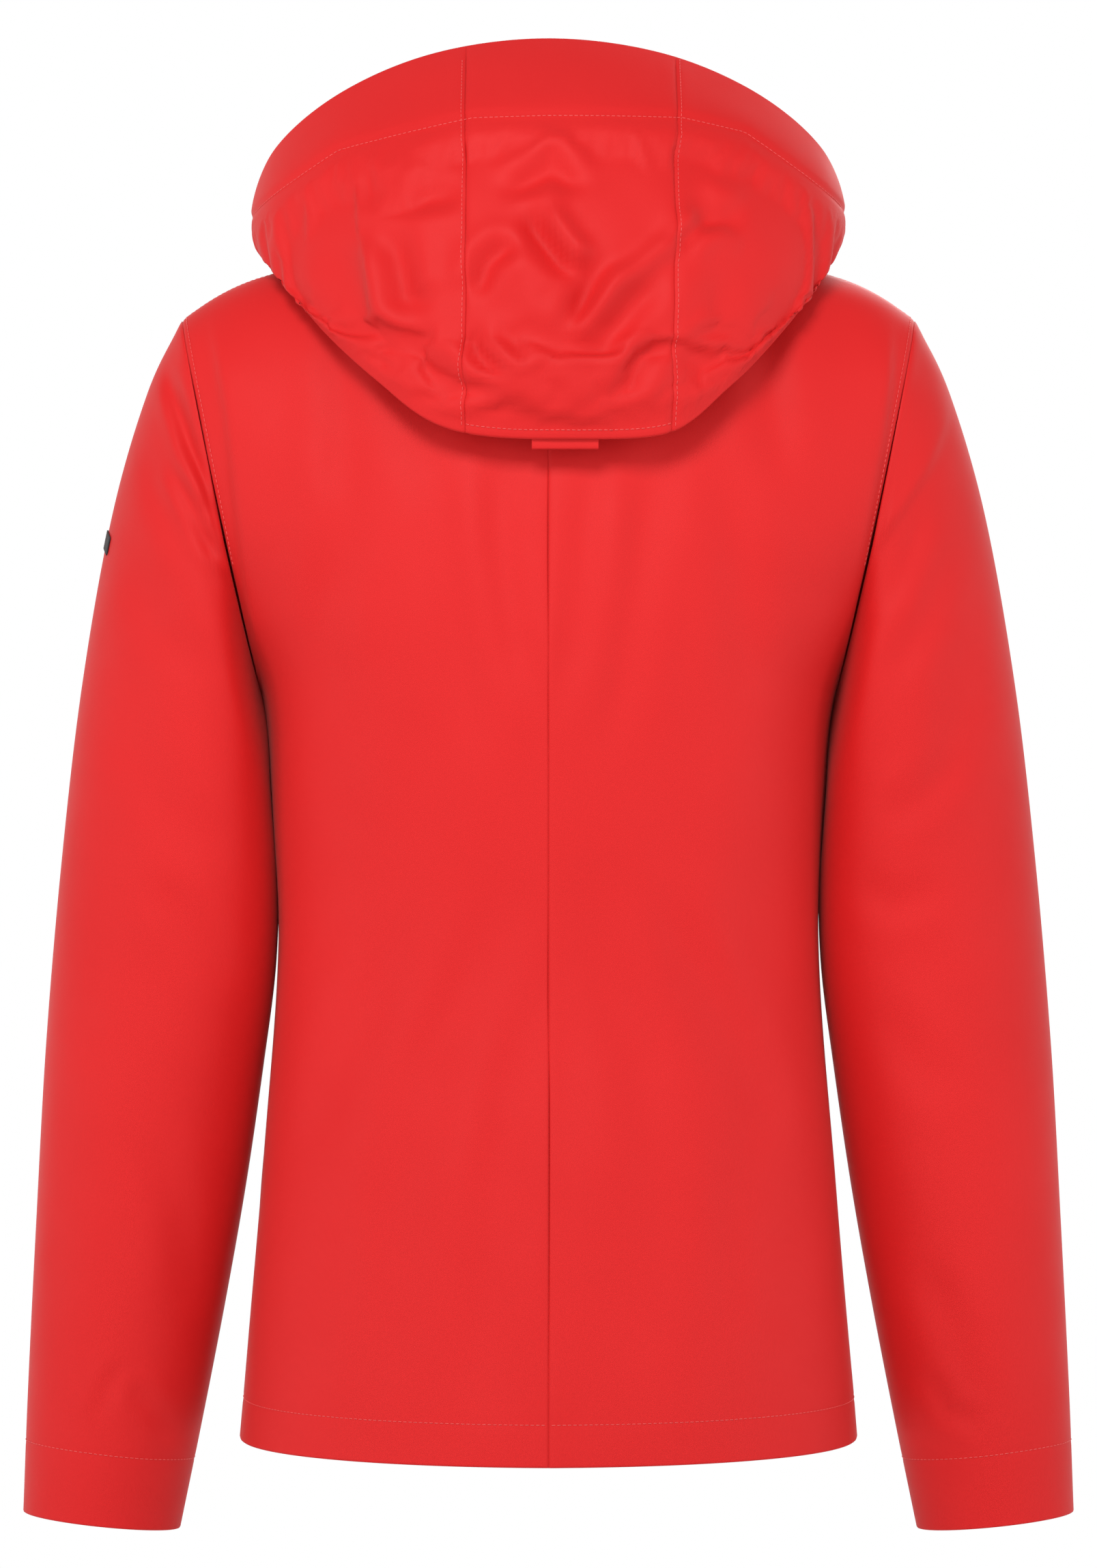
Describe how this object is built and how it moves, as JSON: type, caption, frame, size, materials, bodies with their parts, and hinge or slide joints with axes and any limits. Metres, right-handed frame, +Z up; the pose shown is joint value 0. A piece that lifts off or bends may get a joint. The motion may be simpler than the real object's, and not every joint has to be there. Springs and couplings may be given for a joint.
{
  "type": "hardshell jacket",
  "caption": "Women's waterproof hardshell jacket with a roomy hood, centre front zip, hand pockets, set-in sleeves with tabbed cuffs and a stitched hem.",
  "frame": {"origin": "underside of the hanger loop's strap, at its middle, inside the back neck", "axes": "+Z up, -Y towards the front zip, +X towards the wearer's left"},
  "size_m": [0.5886, 0.2649, 0.8261],
  "materials": {
    "shell_fabric": "matt plain-weave laminate",
    "facing_fabric": "matt laminate facing",
    "dark_trim": "matt woven or brushed trim",
    "pull_cover": "matt moulded",
    "zip_tape": "coated tape",
    "zip_coil": "satin",
    "dark_plastic": "satin",
    "dark_metal": "satin lacquered"
  },
  "bodies": {
    "torso": {"back_panel_left": "shell_fabric", "back_panel_right": "shell_fabric", "front_panel_left": "shell_fabric", "front_panel_right": "shell_fabric", "hem_facing": "facing_fabric", "collar": "shell_fabric", "zip_tape_left": "zip_tape", "zip_tape_right": "zip_tape", "zip_chain_left": "zip_coil", "zip_chain_right": "zip_coil", "zip_top_stop_left": "dark_metal", "zip_top_stop_right": "dark_metal", "zip_bottom_box": "dark_plastic", "zip_pin": "dark_plastic", "storm_flap": "facing_fabric", "chin_guard": "dark_trim", "hanger_loop": "dark_trim", "hem_lock_left": "dark_plastic", "hem_lock_right": "dark_plastic", "hood_under_panel": "shell_fabric", "pocket_zip_tape_left": "zip_tape", "pocket_zip_chain_left": "zip_coil", "pocket_pouch_left": "facing_fabric", "pocket_zip_tape_right": "zip_tape", "pocket_zip_chain_right": "zip_coil", "pocket_pouch_right": "facing_fabric"},
    "hood": {"hood_centre_panel": "shell_fabric", "hood_side_panel_left": "shell_fabric", "hood_side_panel_right": "shell_fabric", "hood_rim_facing": "facing_fabric", "hood_loop_tab": "shell_fabric"},
    "sleeve_left": {"sleeve_left": "shell_fabric", "cuff_facing_left": "facing_fabric", "cuff_loop_patch_left": "dark_trim", "sleeve_patch": "dark_trim"},
    "sleeve_right": {"sleeve_right": "shell_fabric", "cuff_facing_right": "facing_fabric", "cuff_loop_patch_right": "dark_trim"},
    "zip_slider": {"zip_slider": "dark_metal"},
    "zip_pull": {"zip_pull": "pull_cover"},
    "cuff_tab_left": {"cuff_tab_left": "shell_fabric"},
    "pocket_slider_left": {"pocket_slider_left": "dark_metal"},
    "pocket_pull_left": {"pocket_pull_left": "pull_cover"},
    "hem_lock_button_left": {"hem_lock_button_left": "dark_plastic"},
    "cuff_tab_right": {"cuff_tab_right": "shell_fabric"},
    "pocket_slider_right": {"pocket_slider_right": "dark_metal"},
    "pocket_pull_right": {"pocket_pull_right": "pull_cover"},
    "hem_lock_button_right": {"hem_lock_button_right": "dark_plastic"}
  },
  "joints": [
    {"name": "hood_raise", "type": "hinge", "parent": "torso", "child": "hood", "pos_m": [0, -0.156, -0.034], "axis": [1, 0, 0], "range_deg": [0, 50]},
    {"name": "zip_slide", "type": "slide", "parent": "torso", "child": "zip_slider", "axis": [0, -0.0405, -0.9992], "range_m": [0, 0.633]},
    {"name": "zip_pull_flip", "type": "hinge", "parent": "zip_slider", "child": "zip_pull", "pos_m": [0, -0.15523, -0.01092], "axis": [-1, 0, 0], "range_deg": [0, 160]},
    {"name": "shoulder_left", "type": "hinge", "parent": "torso", "child": "sleeve_left", "pos_m": [0.20347, -0.056, -0.03898], "axis": [0, -1, 0], "range_deg": [0, 35]},
    {"name": "cuff_tab_open_left", "type": "hinge", "parent": "sleeve_left", "child": "cuff_tab_left", "pos_m": [0.27587, -0.1199, -0.68047], "axis": [-0.0715, -0.0031, 0.9974], "range_deg": [0, 120]},
    {"name": "pocket_slide_left", "type": "slide", "parent": "torso", "child": "pocket_slider_left", "axis": [0.1451, 0.0206, -0.9892], "range_m": [0, 0.136]},
    {"name": "pocket_pull_flip_left", "type": "hinge", "parent": "pocket_slider_left", "child": "pocket_pull_left", "pos_m": [0.09704, -0.15217, -0.45074], "axis": [-0.8482, -0.5121, -0.1351], "range_deg": [0, 160]},
    {"name": "hem_lock_press_left", "type": "slide", "parent": "torso", "child": "hem_lock_button_left", "axis": [0, 0, -1], "range_m": [0, 0.003], "stiffness_N_per_m": 600, "springref_m": -0.002},
    {"name": "shoulder_right", "type": "hinge", "parent": "torso", "child": "sleeve_right", "pos_m": [-0.20347, -0.056, -0.03898], "axis": [0, 1, 0], "range_deg": [0, 35]},
    {"name": "cuff_tab_open_right", "type": "hinge", "parent": "sleeve_right", "child": "cuff_tab_right", "pos_m": [-0.27587, -0.1199, -0.68047], "axis": [-0.0715, 0.0031, -0.9974], "range_deg": [0, 120]},
    {"name": "pocket_slide_right", "type": "slide", "parent": "torso", "child": "pocket_slider_right", "axis": [-0.1451, 0.0206, -0.9892], "range_m": [0, 0.136]},
    {"name": "pocket_pull_flip_right", "type": "hinge", "parent": "pocket_slider_right", "child": "pocket_pull_right", "pos_m": [-0.09704, -0.15217, -0.45074], "axis": [-0.8482, 0.5121, 0.1351], "range_deg": [0, 160]},
    {"name": "hem_lock_press_right", "type": "slide", "parent": "torso", "child": "hem_lock_button_right", "axis": [0, 0, -1], "range_m": [0, 0.003], "stiffness_N_per_m": 600, "springref_m": -0.002}
  ]
}
